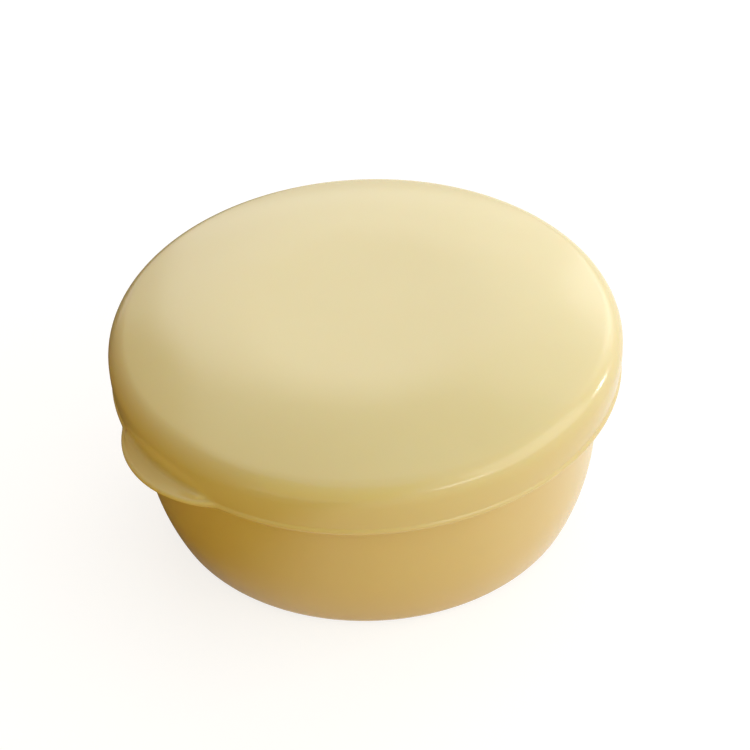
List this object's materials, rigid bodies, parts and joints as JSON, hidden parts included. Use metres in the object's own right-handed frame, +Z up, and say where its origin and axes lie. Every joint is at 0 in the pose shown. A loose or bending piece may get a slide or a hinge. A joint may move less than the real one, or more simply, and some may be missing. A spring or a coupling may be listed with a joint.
{
  "type": "travel soap box",
  "caption": "Round plastic travel soap box: a tapered bowl on a foot ring, a low domed lid that clicks shut and has a pull tab, and a slotted drain tray on legs inside.",
  "frame": {"origin": "centre of the bowl's foot ring, on the surface the box stands on", "axes": "+Z up through the middle of the lid, -Y towards the pull tab, +X to the right of the tab seen from the tab's side"},
  "size_m": [0.1, 0.1036, 0.047],
  "materials": {
    "bowl_plastic": "satin moulded cream-yellow polypropylene",
    "lid_plastic": "satin moulded cream-yellow polypropylene",
    "tray_plastic": "satin moulded cream-yellow polypropylene"
  },
  "bodies": {
    "bowl": {"bowl": "bowl_plastic"},
    "lid": {"lid": "lid_plastic"},
    "drain_tray": {"drain_tray": "tray_plastic"}
  },
  "joints": [
    {"name": "lid_lift", "type": "slide", "parent": "bowl", "child": "lid", "axis": [0, 0, 1], "range_m": [0, 0.06]},
    {"name": "tray_lift", "type": "slide", "parent": "bowl", "child": "drain_tray", "axis": [0, 0, 1], "range_m": [0, 0.028]}
  ]
}
